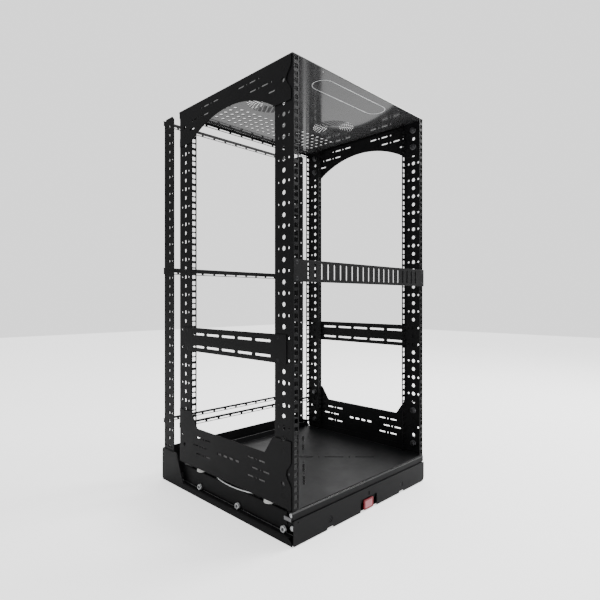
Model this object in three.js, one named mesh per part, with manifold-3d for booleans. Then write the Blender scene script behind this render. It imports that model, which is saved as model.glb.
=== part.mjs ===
// A 20-unit open equipment rack on a slide-out, turning base. All sizes are in millimetres.
// Origin: the middle of the footprint, on the floor. +Z is up and the equipment side faces -Y.
import * as THREE from "three";
import { mergeVertices } from "three/addons/utils/BufferGeometryUtils.js";
import Module from "manifold-3d";

const wasm = await Module();
wasm.setup();

// Driving dimensions
const BASE_WIDTH = 486;
const BASE_DEPTH = 505.8;
const HEIGHT = 961.9;
const RACK_WIDTH = 485.4;
const RACK_DEPTH = 419;
const SHEET = 2;
const GAP = 0.3; // clearance that keeps touching pieces apart
const UNIT = 44.45; // one rack unit
const UNITS = 20;
const UNIT_HOLES = [6.35, 22.225, 38.1]; // mounting holes above the foot of each unit
const FIRST_UNIT = 71.7; // height of the foot of the lowest unit

// Places along Y, from the front of the rack
const FRONT_PLATE_OUT = 2.5;
const RACK_FRONT = -BASE_DEPTH / 2 + FRONT_PLATE_OUT;
const RACK_REAR = RACK_FRONT + RACK_DEPTH;
const PIVOT_Y = RACK_FRONT + RACK_DEPTH / 2;
const BASE_REAR = BASE_DEPTH / 2;
const inRack = (y) => RACK_FRONT + y;

// Heights of the layers of the base, from the floor up
const RAIL_TOP = 14.8;
const ROLLER_RADIUS = 7;
const AXLE_Z = RAIL_TOP + GAP + ROLLER_RADIUS;
const TRAY_FOOT = 18;
const TRAY_TOP = 58;
const FRONT_PLATE_TOP = 50.5;
const FLOOR_UNDERSIDE = 67.8;
const FLOOR_TOP = FLOOR_UNDERSIDE + SHEET;
const PANEL_UNDERSIDE = HEIGHT - SHEET;

// Posts and the plates that tie them together
const POST_DEPTH = 55;
const FLANGE = 15.4;
const BOLT_COLUMN = 27.6; // bolt line behind the front edge of a post
const BOLT_HEIGHTS = [93.9, 182.8, 894, 938.5];
const CABLE_POST_Y = 447.8;
const CABLE_POST_DEPTH = 49.7;

const powder = new THREE.MeshStandardMaterial({ color: 0x151516, roughness: 0.55, metalness: 0.1 });
const gloss = new THREE.MeshStandardMaterial({ color: 0x1b1b1d, roughness: 0.3, metalness: 0.1 });
const zinc = new THREE.MeshStandardMaterial({ color: 0xb4b8bc, roughness: 0.35, metalness: 0.9 });
const nylon = new THREE.MeshStandardMaterial({ color: 0xd8d8d4, roughness: 0.5, metalness: 0 });
const red = new THREE.MeshStandardMaterial({ color: 0xb02a38, roughness: 0.45, metalness: 0 });

// Joining and cutting
function solidOf(geometry) {
  const bare = geometry.clone();
  bare.deleteAttribute("normal");
  bare.deleteAttribute("uv");
  const merged = mergeVertices(bare, 1e-4);
  return new wasm.Manifold(
    new wasm.Mesh({
      numProp: 3,
      vertProperties: merged.attributes.position.array,
      triVerts: new Uint32Array(merged.index.array),
    }),
  );
}

function geometryOf(solid) {
  const mesh = solid.getMesh();
  const geometry = new THREE.BufferGeometry();
  geometry.setAttribute("position", new THREE.BufferAttribute(mesh.vertProperties, 3));
  geometry.setIndex(new THREE.BufferAttribute(mesh.triVerts, 1));
  geometry.computeVertexNormals();
  return geometry;
}

const joined = (...shapes) => geometryOf(shapes.map(solidOf).reduce((sum, s) => sum.add(s)));
const cut = (shape, ...cutters) =>
  geometryOf(cutters.map(solidOf).reduce((rest, s) => rest.subtract(s), solidOf(shape)));
const common = (a, b) => geometryOf(solidOf(a).intersect(solidOf(b)));

// A block between two corners
function block(x0, x1, y0, y1, z0, z1) {
  const box = new THREE.BoxGeometry(x1 - x0, y1 - y0, z1 - z0);
  return box.translate((x0 + x1) / 2, (y0 + y1) / 2, (z0 + z1) / 2);
}

// Outlines and holes for sheet parts
function outline(points) {
  return new THREE.Shape(points.map(([u, v]) => new THREE.Vector2(u, v)));
}

const rectangle = (u0, u1, v0, v1) => outline([[u0, v0], [u1, v0], [u1, v1], [u0, v1]]);

function ringHole(u, v, radius, sides) {
  const turn = Math.PI / sides;
  const angles = Array.from({ length: sides }, (_, i) => turn + (2 * Math.PI * i) / sides);
  return outline(angles.map((a) => [u + radius * Math.cos(a), v + radius * Math.sin(a)]));
}

const squareHole = (u, v, side) => rectangle(u - side / 2, u + side / 2, v - side / 2, v + side / 2);

// A slot with pointed ends, turned by an angle
function slotHole(u, v, length, width, angle = 0) {
  const [h, w] = [length / 2, width / 2];
  const points = [[-h, 0], [w - h, -w], [h - w, -w], [h, 0], [h - w, w], [w - h, w]];
  const [c, s] = [Math.cos(angle), Math.sin(angle)];
  return outline(points.map(([a, b]) => [u + a * c - b * s, v + a * s + b * c]));
}

// One flat sheet. A "side" sheet lies in YZ, a "front" sheet in XZ and a "level" sheet in XY,
// and its thickness runs from the given place in the positive direction of the third axis.
const X = new THREE.Vector3(1, 0, 0);
const Y = new THREE.Vector3(0, 1, 0);
const Z = new THREE.Vector3(0, 0, 1);
const PLANES = {
  side: (at) => new THREE.Matrix4().makeBasis(Y, Z, X).setPosition(at, 0, 0),
  front: (at, thick) => new THREE.Matrix4().makeBasis(X, Z, Y.clone().negate()).setPosition(0, at + thick, 0),
  level: (at) => new THREE.Matrix4().setPosition(0, 0, at),
};

function sheet(plane, shape, at, holes = [], thick = SHEET) {
  const extrude = (outlined, depth) =>
    new THREE.ExtrudeGeometry(outlined, { depth, bevelEnabled: false, curveSegments: 6 });
  const body = extrude(shape, thick);
  const cutters = holes.map((hole) => extrude(hole, thick + 2).translate(0, 0, -1));
  const holed = holes.length ? cut(body, ...cutters) : body;
  return holed.applyMatrix4(PLANES[plane](at, thick));
}

// A turned piece about the Z axis, from a closed profile of [radius, height] points
function turned(profile, sides) {
  const points = [...profile, profile[0]].map(([r, z]) => new THREE.Vector2(r, z));
  return new THREE.LatheGeometry(points, sides).rotateX(Math.PI / 2);
}

function ring(inner, outer, z0, z1, sides, y = PIVOT_Y) {
  return turned([[inner, z0], [outer, z0], [outer, z1], [inner, z1]], sides).translate(0, y, 0);
}

function rod(radius, z0, z1, sides) {
  const upright = new THREE.CylinderGeometry(radius, radius, z1 - z0, sides).rotateX(Math.PI / 2);
  return upright.translate(0, 0, (z0 + z1) / 2);
}

const model = new THREE.Group();

function piece(name, geometry, material) {
  const mesh = new THREE.Mesh(geometry, material);
  mesh.name = name;
  model.add(mesh);
  return mesh;
}

// The same sheet piece on the left and, mirrored in x, on the right
const mirrored = (geometry) => geometryOf(solidOf(geometry).mirror([1, 0, 0]));

function pair(name, geometry, material) {
  piece(`${name}_left`, geometry, material);
  piece(`${name}_right`, mirrored(geometry), material);
}

// Every mounting-hole height on a post
const holeHeights = [];
for (let unit = 0; unit < UNITS; unit += 1) {
  for (const hole of UNIT_HOLES) holeHeights.push(FIRST_UNIT + unit * UNIT + hole);
}

// Base: pan, rails, rear wall
function basePan() {
  const half = BASE_WIDTH / 2 - SHEET - GAP;
  return sheet("level", rectangle(-half, half, RACK_FRONT + 4, BASE_REAR - SHEET - GAP), 0);
}

function baseRail() {
  const outer = -BASE_WIDTH / 2;
  const rear = BASE_REAR - SHEET - GAP;
  const riserTop = 84;
  const nose = 12;
  const side = new THREE.Shape();
  side.moveTo(RACK_FRONT, 0).lineTo(rear, 0).lineTo(rear, riserTop).lineTo(inRack(432), riserTop);
  side.lineTo(inRack(398), RAIL_TOP).lineTo(RACK_FRONT + nose, RAIL_TOP);
  side.absarc(RACK_FRONT + nose, RAIL_TOP - nose, nose, Math.PI / 2, Math.PI, false);
  const track = 26;
  const web = sheet("side", side, outer);
  return joined(web, block(outer, outer + track, RACK_FRONT + nose, rear, RAIL_TOP - SHEET, RAIL_TOP));
}

function rearWall() {
  const [half, top, corner] = [BASE_WIDTH / 2, 84, 6];
  const wall = new THREE.Shape();
  wall.moveTo(-half, top).lineTo(-half, corner).absarc(corner - half, corner, corner, Math.PI, 1.5 * Math.PI);
  wall.lineTo(half - corner, 0).absarc(half - corner, corner, corner, 1.5 * Math.PI, 2 * Math.PI);
  wall.lineTo(half, top);
  return sheet("front", wall, BASE_REAR - SHEET);
}

piece("base_pan", basePan(), powder);
pair("base_rail", baseRail(), powder);
piece("base_rear_wall", rearWall(), powder);

// Rear cable posts, which stand on the base and stay put: an angle with its flange at the rear
function cablePost() {
  const outer = -BASE_WIDTH / 2 + SHEET + GAP;
  const front = inRack(CABLE_POST_Y);
  const rear = front + CABLE_POST_DEPTH;
  const foot = RAIL_TOP + GAP;
  const shoulder = HEIGHT - 8;
  const web = outline([
    [front, foot], [rear, foot], [rear, shoulder],
    [rear - 8, HEIGHT], [front + 8, HEIGHT], [front, shoulder],
  ]);
  const flange = rectangle(outer, outer + FLANGE, foot, shoulder);
  return joined(sheet("side", web, outer), sheet("front", flange, rear - SHEET));
}

pair("cable_post", cablePost(), powder);

// A lacing bar: an angle with a row of long slots low in its upright leg and a short shelf at its top.
// Each level has its own height of plain band above the slots and of the slots themselves.
const BARS = {
  top: { band: 8.3, slotTall: 4 },
  middle: { band: 11.5, slotTall: 4.4 },
  bottom: { band: 4.4, slotTall: 5 },
};
const BAR_MARGIN = 1.5; // steel left below the slots

function lacingBar(halfLength, y, top, { band, slotTall }) {
  const [thick, shelf, pitch, slot, count] = [1.2, 4.2, 39.6, 33.6, 12];
  const [slotFoot, slotTop] = [top - band - slotTall, top - band];
  const slots = Array.from({ length: count }, (_, i) => {
    const middle = (i - (count - 1) / 2) * pitch;
    return rectangle(middle - slot / 2, middle + slot / 2, slotFoot, slotTop);
  });
  const upright = rectangle(-halfLength, halfLength, slotFoot - BAR_MARGIN, top);
  return joined(
    sheet("front", upright, y, slots, thick),
    block(-halfLength, halfLength, y, y + shelf, top - thick, top),
  );
}

const CABLE_BAR_Y = inRack(CABLE_POST_Y) + CABLE_POST_DEPTH + GAP;
const CABLE_BAR_TOPS = { top: HEIGHT, middle: 567.2, bottom: 162.3 };
for (const [place, z] of Object.entries(CABLE_BAR_TOPS)) {
  piece(`cable_bar_${place}`, lacingBar(241.5, CABLE_BAR_Y, z, BARS[place]), powder);
}

// Carriage: tray with stub axles, front plate, front lip
const ROLLER_PLACES = { front: 34, middle: 184, rear: 334 };
const TRAY_HALF = 231;
const TRAY_NOTCH = { wide: 14, end: 28 }; // cut from its front corners to clear the stop screws

function carriageTray() {
  const [front, rear] = [inRack(SHEET + GAP), RACK_REAR - SHEET - GAP];
  const inner = TRAY_HALF - SHEET;
  const [notchStart, notchEnd] = [front - 1, inRack(TRAY_NOTCH.end)];
  const notches = [-TRAY_HALF - 1, TRAY_HALF - TRAY_NOTCH.wide].map((x) => (
    block(x, x + TRAY_NOTCH.wide + 1, notchStart, notchEnd, TRAY_FOOT - 1, TRAY_TOP + 1)
  ));
  const shell = cut(
    block(-TRAY_HALF, TRAY_HALF, front, rear, TRAY_FOOT, TRAY_TOP),
    block(-inner, inner, front + SHEET, rear - SHEET, TRAY_FOOT - 1, TRAY_TOP - SHEET),
    rod(10, TRAY_TOP - 2 * SHEET, TRAY_TOP + SHEET, 12).translate(0, PIVOT_Y, 0),
    ...notches,
  );
  const axles = [];
  for (const y of Object.values(ROLLER_PLACES)) {
    for (const side of [-1, 1]) {
      const axle = rod(3, 0, 9, 8).rotateY((side * Math.PI) / 2);
      axles.push(axle.translate(side * (inner + 1), inRack(y), AXLE_Z));
    }
  }
  return joined(shell, ...axles);
}

function frontPlate() {
  const half = BASE_WIDTH / 2;
  const [foot, top] = [1, FRONT_PLATE_TOP];
  const notch = { half: 11, deep: 4 };
  const latchBay = { half: 30.5, top: 29 };
  const screw = { x: 134, z: 20.5, radius: 6 };
  const edge = [[-half, foot]];
  for (const [middle, { half: w, deep, top: bayTop }] of [
    [-screw.x, notch], [0, latchBay], [screw.x, notch],
  ]) {
    const ceiling = bayTop ?? foot + deep;
    edge.push([middle - w, foot], [middle - w + 2, ceiling], [middle + w - 2, ceiling], [middle + w, foot]);
  }
  edge.push([half - 6, foot], [half - 1.8, foot + 1.8], [half, foot + 6], [half, top], [-half, top]);
  const holes = [-1, 1].map((side) => ringHole(side * screw.x, screw.z, screw.radius, 12));
  holes.push(slotHole(0, 37.5, 9, 4, Math.PI / 2));
  return sheet("front", outline(edge), RACK_FRONT - FRONT_PLATE_OUT, holes);
}

function frontLip() {
  const half = BASE_WIDTH / 2;
  const [foot, top] = [51.5, FLOOR_UNDERSIDE - 0.4];
  const shelf = 10;
  return joined(
    block(-half, half, RACK_FRONT, RACK_FRONT + SHEET, foot, top),
    block(-half, half, RACK_FRONT, RACK_FRONT + shelf, top - SHEET, top),
  );
}

piece("carriage_tray", carriageTray(), powder);
piece("carriage_front_plate", frontPlate(), powder);
piece("carriage_front_lip", frontLip(), powder);

// Turntable: the lower disc is cut flat at the front and rear to stay within the tray
const LOWER_DISC_TOP = TRAY_TOP + GAP + 3;
const UPPER_RING_FOOT = FLOOR_UNDERSIDE - GAP - SHEET;
function lowerDisc() {
  const [radius, halfDepth] = [236.6, 194];
  const disc = ring(40, radius, TRAY_TOP + GAP, LOWER_DISC_TOP, 64);
  const [front, rear] = [PIVOT_Y - halfDepth, PIVOT_Y + halfDepth];
  return common(disc, block(-radius - 1, radius + 1, front, rear, TRAY_TOP, FLOOR_UNDERSIDE));
}
piece("turntable_lower_disc", lowerDisc(), zinc);
piece("turntable_upper_ring", ring(90, 160, UPPER_RING_FOOT, UPPER_RING_FOOT + SHEET, 40), zinc);
piece("turntable_ball_cage", ring(128, 150, LOWER_DISC_TOP + GAP, UPPER_RING_FOOT - GAP, 40), nylon);

function pivotStud() {
  const [foot, flangeFoot, top] = [44, FLOOR_UNDERSIDE - GAP - 3, FLOOR_UNDERSIDE - GAP];
  const profile = [[0, foot], [8, foot], [8, flangeFoot], [24, flangeFoot], [24, top], [0, top]];
  return turned(profile, 16).translate(0, PIVOT_Y, 0);
}
piece("pivot_stud", pivotStud(), zinc);
piece("pivot_nut", ring(8 + GAP, 16, 45, TRAY_TOP - SHEET - GAP, 12), zinc);

const PAD_EDGE = 237.4;
for (const [end, y] of [["front", 87], ["rear", 339]]) {
  const radius = 13;
  const pad = rod(radius, TRAY_TOP + GAP, FLOOR_UNDERSIDE - GAP, 16);
  pair(`glide_pad_${end}`, pad.translate(radius - PAD_EDGE, inRack(y), 0), nylon);
}

for (const [place, y] of Object.entries(ROLLER_PLACES)) {
  const [bore, start] = [3 + GAP, TRAY_HALF + GAP];
  const end = start + 7;
  const wheel = turned([[bore, start], [ROLLER_RADIUS, start], [ROLLER_RADIUS, end], [bore, end]], 16);
  pair(`roller_${place}`, wheel.rotateY(-Math.PI / 2).translate(0, inRack(y), AXLE_Z), zinc);
}

// Release latch in the bay of the front plate: a red grip on a flat black tongue
function releaseLatch() {
  const grip = block(-17.3, 17.3, RACK_FRONT - FRONT_PLATE_OUT + 0.1, RACK_FRONT + 1.5, 1.6, 24.6);
  const hollow = block(-13, 13, RACK_FRONT - FRONT_PLATE_OUT - 1, RACK_FRONT - 1.6, 4.5, 21);
  return cut(grip, hollow);
}
piece("release_latch", releaseLatch(), red);

// Rack floor: a plate with side and rear upstands and a cross of slots
function rackFloor() {
  const half = RACK_WIDTH / 2 - SHEET - GAP;
  const slots = [];
  for (const angle of [Math.PI / 4, -Math.PI / 4]) {
    for (const distance of [-160, -80, 80, 160]) {
      slots.push(slotHole(distance * Math.cos(angle), PIVOT_Y + distance * Math.sin(angle), 44, 4, angle));
    }
  }
  const plate = sheet("level", rectangle(-half, half, RACK_FRONT, RACK_REAR), FLOOR_UNDERSIDE, slots);
  const upstand = 15;
  const [front, rear] = [inRack(POST_DEPTH + GAP), RACK_REAR - POST_DEPTH - GAP];
  return joined(
    plate,
    block(-half, -half + SHEET, front, rear, FLOOR_UNDERSIDE, FLOOR_TOP + upstand),
    block(half - SHEET, half, front, rear, FLOOR_UNDERSIDE, FLOOR_TOP + upstand),
    block(22 - half, half - 22, RACK_REAR - SHEET, RACK_REAR, FLOOR_UNDERSIDE, FLOOR_TOP + upstand),
  );
}
piece("rack_floor", rackFloor(), powder);

// A post: a side web with the bolt line and two flanges, of which the outer one has the square holes
const WEB_X = -RACK_WIDTH / 2 + SHEET + GAP;
const SQUARE_X = -232.5;
const POST_FOOT = FLOOR_TOP + GAP;
const POST_TOP = PANEL_UNDERSIDE - GAP;

function post(frontEdge, boltY, outerY, innerY) {
  const web = rectangle(frontEdge, frontEdge + POST_DEPTH, POST_FOOT, POST_TOP);
  const flange = () => rectangle(WEB_X, WEB_X + FLANGE, POST_FOOT, POST_TOP);
  const squares = holeHeights.map((z) => squareHole(SQUARE_X, z, 9.5));
  const bolts = BOLT_HEIGHTS.map((z) => ringHole(boltY, z, 4.8, 8));
  return joined(
    sheet("side", web, WEB_X, bolts),
    sheet("front", flange(), outerY, squares),
    sheet("front", flange(), innerY),
  );
}

const REAR_POST_EDGE = RACK_REAR - POST_DEPTH;
const FRONT_BOLT_Y = inRack(BOLT_COLUMN);
const REAR_BOLT_Y = RACK_REAR - BOLT_COLUMN;
pair("post_front", post(RACK_FRONT, FRONT_BOLT_Y, RACK_FRONT, inRack(POST_DEPTH - SHEET)), powder);
pair("post_rear", post(REAR_POST_EDGE, REAR_BOLT_Y, RACK_REAR - SHEET, REAR_POST_EDGE), powder);

// Side plates and braces, outside the posts; both halves of a plate mirror about the middle
const PLATE_X = -RACK_WIDTH / 2;
const PLATE_HALF = 205.3;
const bothWays = (offsets) => offsets.flatMap((offset) => [PIVOT_Y - offset, PIVOT_Y + offset]);
const boltHoles = (heights) =>
  heights.flatMap((z) => [FRONT_BOLT_Y, REAR_BOLT_Y].map((y) => ringHole(y, z, 4.8, 8)));

function upperSidePlate() {
  const [foot, shoulder, apex, archHalf] = [871.5, 874, 917, 152.7];
  const radius = (archHalf ** 2 + (apex - shoulder) ** 2) / (2 * (apex - shoulder));
  const spread = Math.asin(archHalf / radius);
  const shape = new THREE.Shape();
  shape.moveTo(PIVOT_Y - PLATE_HALF, foot).lineTo(PIVOT_Y - archHalf, foot);
  shape.absarc(PIVOT_Y, apex - radius, radius, Math.PI / 2 + spread, Math.PI / 2 - spread, true);
  shape.lineTo(PIVOT_Y + archHalf, foot).lineTo(PIVOT_Y + PLATE_HALF, foot);
  shape.lineTo(PIVOT_Y + PLATE_HALF, POST_TOP).lineTo(PIVOT_Y - PLATE_HALF, POST_TOP);
  const rows = [[944.2, [86.4, 47.7]], [924.2, [126.5, 87.5]], [903.5, [148]]];
  const slots = rows.flatMap(([z, offsets]) => bothWays(offsets).map((y) => slotHole(y, z, 22.5, 4.5)));
  return sheet("side", shape, PLATE_X, [...slots, ...boltHoles(BOLT_HEIGHTS.slice(2))]);
}

function lowerSidePlate() {
  const [foot, middleTop, postTop] = [FLOOR_TOP, 166.2, 204];
  const [inner, outer] = [123, 152.7];
  const shape = outline([
    [PIVOT_Y - PLATE_HALF, foot], [PIVOT_Y + PLATE_HALF, foot], [PIVOT_Y + PLATE_HALF, postTop],
    [PIVOT_Y + outer, postTop], [PIVOT_Y + inner, middleTop],
    [PIVOT_Y - inner, middleTop], [PIVOT_Y - outer, postTop], [PIVOT_Y - PLATE_HALF, postTop],
  ]);
  const rows = [[144.9, [116.7, 79.4]], [125, [130.7, 94]], [105.5, [116.7, 79.4]]];
  const slots = rows.flatMap(([z, offsets]) => bothWays(offsets).map((y) => slotHole(y, z, 22.5, 4.2)));
  return sheet("side", shape, PLATE_X, [...slots, ...boltHoles(BOLT_HEIGHTS.slice(0, 2))]);
}

function brace() {
  const [foot, top, half] = [353.9, 412.2, 191.3];
  const slots = [];
  for (const z of [366.4, 397.1]) {
    for (let i = -2; i <= 2; i += 1) slots.push(slotHole(PIVOT_Y + i * 60, z, 50, 6));
  }
  return sheet("side", rectangle(PIVOT_Y - half, PIVOT_Y + half, foot, top), PLATE_X, slots);
}

pair("upper_side_plate", upperSidePlate(), powder);
pair("lower_side_plate", lowerSidePlate(), powder);
pair("side_brace", brace(), powder);

// Side bolts: a flush stud through plate and post with a hexagon nut inside
function sideBolt(y, z) {
  const [seat, nutEnd, nut, stud] = [SHEET + GAP + SHEET + GAP, 12.5, 8.3, 4];
  const profile = [[0, 0.3], [stud, 0.3], [stud, seat], [nut, seat], [nut, nutEnd], [0, nutEnd]];
  return turned(profile, 6).rotateY(Math.PI / 2).translate(PLATE_X, y, z);
}

BOLT_HEIGHTS.forEach((z, level) => {
  pair(`side_bolt_front_${level + 1}`, sideBolt(FRONT_BOLT_Y, z), zinc);
  pair(`side_bolt_rear_${level + 1}`, sideBolt(REAR_BOLT_Y, z), zinc);
});

// Top panel: a field of vent holes at the rear and two fan openings
function fanHoles(x, y) {
  const [hub, rim, spokes, spokeAngle] = [18.5, 57, 6, 0.12];
  const sector = (2 * Math.PI) / spokes;
  return Array.from({ length: spokes }, (_, i) => {
    const [from, to] = [i * sector + spokeAngle, (i + 1) * sector - spokeAngle];
    const arc = (radius, a, b) => [0, 0.25, 0.5, 0.75, 1].map((t) => {
      const angle = a + (b - a) * t;
      return [x + radius * Math.cos(angle), y + radius * Math.sin(angle)];
    });
    return outline([...arc(rim, from, to), ...arc(hub, to, from).filter((_p, k) => k % 2 === 0)]);
  });
}

function topPanel() {
  const half = RACK_WIDTH / 2;
  const holes = [...fanHoles(-117.3, PIVOT_Y - 1), ...fanHoles(117.3, PIVOT_Y - 1)];
  const pitch = 20;
  for (let column = -10; column <= 10; column += 1) {
    for (let row = 0; row < 5; row += 1) {
      holes.push(squareHole(column * pitch, inRack(290 + row * pitch), 8.5));
    }
  }
  return sheet("level", rectangle(-half, half, RACK_FRONT, RACK_REAR), PANEL_UNDERSIDE, holes);
}
piece("top_panel", topPanel(), gloss);

// The rack's own lacing bars and the one-unit vent panel on its front flanges
piece("rack_bar_top", lacingBar(240.4, RACK_REAR + GAP, 960.7, BARS.top), powder);
piece("rack_bar_bottom", lacingBar(240.4, RACK_REAR + GAP, 162.7, BARS.bottom), powder);

function ventPanel() {
  const slots = [];
  for (let i = -10; i <= 10; i += 1) slots.push(rectangle(i * 20 - 2.5, i * 20 + 2.5, 522, 555));
  return sheet("front", rectangle(-241.3, 241.3, 516.6, 560.3), RACK_FRONT - 2 - GAP, slots);
}
piece("vent_panel", ventPanel(), powder);

export default model;
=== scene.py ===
"""Looks of the slide-out turning equipment rack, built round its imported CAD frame."""
import math

import bmesh
import bpy
from mathutils import Matrix, Vector


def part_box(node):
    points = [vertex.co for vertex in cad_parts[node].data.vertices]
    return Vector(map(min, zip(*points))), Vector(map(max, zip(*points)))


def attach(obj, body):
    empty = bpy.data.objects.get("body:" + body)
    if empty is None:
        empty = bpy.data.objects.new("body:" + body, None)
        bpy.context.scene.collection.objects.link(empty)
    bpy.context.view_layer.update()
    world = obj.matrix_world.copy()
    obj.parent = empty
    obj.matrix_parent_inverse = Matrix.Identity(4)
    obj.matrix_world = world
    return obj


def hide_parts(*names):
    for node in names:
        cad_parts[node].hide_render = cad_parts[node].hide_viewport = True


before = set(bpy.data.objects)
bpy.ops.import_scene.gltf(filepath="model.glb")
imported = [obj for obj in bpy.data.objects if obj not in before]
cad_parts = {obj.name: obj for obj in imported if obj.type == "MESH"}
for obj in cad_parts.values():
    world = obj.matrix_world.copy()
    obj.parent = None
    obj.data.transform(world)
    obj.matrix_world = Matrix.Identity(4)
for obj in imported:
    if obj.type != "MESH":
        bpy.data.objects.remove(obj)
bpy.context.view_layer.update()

MM = 0.001
SHEET = 2 * MM  # thickness of the folded sheet steel
BEND = 2.6 * MM  # outer radius of a fold
EDGE = 0.25 * MM  # rounding left by cutting and coating an edge
SHARP_ANGLE = math.radians(32)
TOUCH = 1e-7  # points closer than this are one point

# Places worked out from the frame: the rack's outer faces and its turning axis
PANEL_LOW, PANEL_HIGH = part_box("top_panel")
HALF_RACK = PANEL_HIGH.x
FRONT, REAR = PANEL_LOW.y, PANEL_HIGH.y
MIDDLE = (FRONT + REAR) / 2

# The hole pattern of the posts: units of three square holes, and round holes each half unit
UNIT = 44.45 * MM
UNITS = 20
UNIT_FOOT = 71.7 * MM  # where the lowest unit starts
SQUARE_SIDE = 9.5 * MM
SQUARE_COLUMN = 10.2 * MM  # from the web's outer face
SQUARES_IN_UNIT = (6.35 * MM, 22.225 * MM, 38.1 * MM)
SQUARE_HEIGHTS = [UNIT_FOOT + u * UNIT + h for u in range(UNITS) for h in SQUARES_IN_UNIT]
COLUMN_HEIGHTS = [UNIT_FOOT + k * UNIT / 2 for k in range(1, 2 * UNITS)]
POST_DEPTH = 55 * MM
BOLT_COLUMN = 27.6 * MM  # from a post's outer edge to its bolts and large holes
COLUMN_RADIUS = 4.75 * MM
SMALL_OFFSET = 14.75 * MM  # from the large holes to the small ones on both sides of them
SMALL_RADIUS = 2.75 * MM

# The side plates
OPENING_HALF = 152.7 * MM
NOTCH_TALL, NOTCH_DEEP = 56 * MM, 14 * MM
PLATE_SLOT = 21 * MM
DOT_RADIUS = 2.2 * MM

# The base and the carriage
RAIL_TOP = 14.8 * MM
FRONT_INSET = 1 * MM  # the front plate and lip stop short of the rails' outer faces

# The studio's surround, as patches of [direction, where it starts and ends, strength there]
SKY_PATCHES = (
    ((-0.7, 0.7, 0), (-0.6, 0.8), (0.7, 0.3)),
    ((0, 0, 1), (0.3, 0.8), (0, 0.7)),
    ((0.62, 0.66, 0.42), (0.78, 0.97), (0, 2.2)),
)
BACKDROP = 1.95  # what only the camera sees behind the object
FLOOR_GLOW = 1.15  # added to the floor for the camera alone
FLOOR_HALF, FLOOR_DROP = 6.0, 0.5 * MM

# Each lamp as [name, place, what it points at, its two sides, watts]
LAMPS = (
    ("front_light", (1.6, -2.6, 1.9), (0, 0, 0.45), (1.6, 1.6), 8),
    ("top_light", (-0.3, -0.2, 3.0), (0, 0, 0), (2.4, 2.4), 16),
    ("fold_light", (-2.1, -2.1, 1.0), (-0.2, -0.2, 0.5), (0.8, 2.2), 7),
    ("edge_light", (1.9, -0.9, 2.2), (0, -0.25, 0.06), (1.2, 1.2), 90),
)

# The camera's place: left of and ahead of the rack's near corner, and above the ground
CAMERA_LEFT_OF_RACK = 635.5 * MM
CAMERA_AHEAD_OF_RACK = 656.2 * MM
CAMERA_HEIGHT = 480.4 * MM
FOCAL, SENSOR = 28.27, 36

# Each lacing bar as [body, what it hangs on, level, how tall its slots are]
BARS = (
    ("rack", "rack", "top", 3.2 * MM),
    ("rack", "rack", "bottom", 3.8 * MM),
    ("base", "cable", "top", 3.2 * MM),
    ("base", "cable", "middle", 3.6 * MM),
    ("base", "cable", "bottom", 3.8 * MM),
)


# ---------------------------------------------------------------- materials
def new_material(name):
    """A material with its node tree and its shader."""
    made = bpy.data.materials.new(name)
    made.use_nodes = True
    tree = made.node_tree
    return made, tree, tree.nodes["Principled BSDF"]


def place_noise(tree, scale, detail=2.0, roughness=0.5):
    """A noise pattern fixed to the object, in metres."""
    where = tree.nodes.new("ShaderNodeTexCoord")
    noise = tree.nodes.new("ShaderNodeTexNoise")
    noise.inputs["Scale"].default_value = scale
    noise.inputs["Detail"].default_value = detail
    noise.inputs["Roughness"].default_value = roughness
    tree.links.new(where.outputs["Object"], noise.inputs["Vector"])
    return noise


def remap(tree, value, low, high, from_low=0.3, from_high=0.7):
    """Stretches a value's own range, by default a noise pattern's, onto low to high."""
    node = tree.nodes.new("ShaderNodeMapRange")
    node.inputs["From Min"].default_value = from_low
    node.inputs["From Max"].default_value = from_high
    node.inputs["To Min"].default_value = low
    node.inputs["To Max"].default_value = high
    tree.links.new(value, node.inputs["Value"])
    return node.outputs["Result"]


def colour_blend(tree, factor, dark, light):
    mix = tree.nodes.new("ShaderNodeMix")
    mix.data_type = "RGBA"
    mix.inputs["A"].default_value = (*dark, 1)
    mix.inputs["B"].default_value = (*light, 1)
    tree.links.new(factor, mix.inputs["Factor"])
    return mix.outputs["Result"]


def add_bump(tree, shader, height, distance, before=None):
    """Raises the surface by a height pattern, on top of the normals that came before."""
    bump = tree.nodes.new("ShaderNodeBump")
    bump.inputs["Distance"].default_value = distance
    bump.inputs["Strength"].default_value = 1.0
    tree.links.new(height, bump.inputs["Height"])
    if before is not None:
        tree.links.new(before, bump.inputs["Normal"])
    tree.links.new(bump.outputs["Normal"], shader.inputs["Normal"])
    return bump.outputs["Normal"]


def powder_coat(name, dark, light, rough, specular, grain):
    """Black powder coat: orange peel, a finer grain, faint handling marks and rougher patches."""
    made, tree, shader = new_material(name)
    marks = place_noise(tree, 14, 5, 0.6)
    peel = place_noise(tree, 420, 2)
    fine = place_noise(tree, 1700, 1)
    tone = remap(tree, marks.outputs["Fac"], 0, 1)
    tree.links.new(colour_blend(tree, tone, dark, light), shader.inputs["Base Color"])
    tree.links.new(remap(tree, marks.outputs["Fac"], *rough), shader.inputs["Roughness"])
    shader.inputs["Specular IOR Level"].default_value = specular
    peel_normal = add_bump(tree, shader, peel.outputs["Fac"], grain * 2)
    add_bump(tree, shader, fine.outputs["Fac"], grain, before=peel_normal)
    return made


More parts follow.
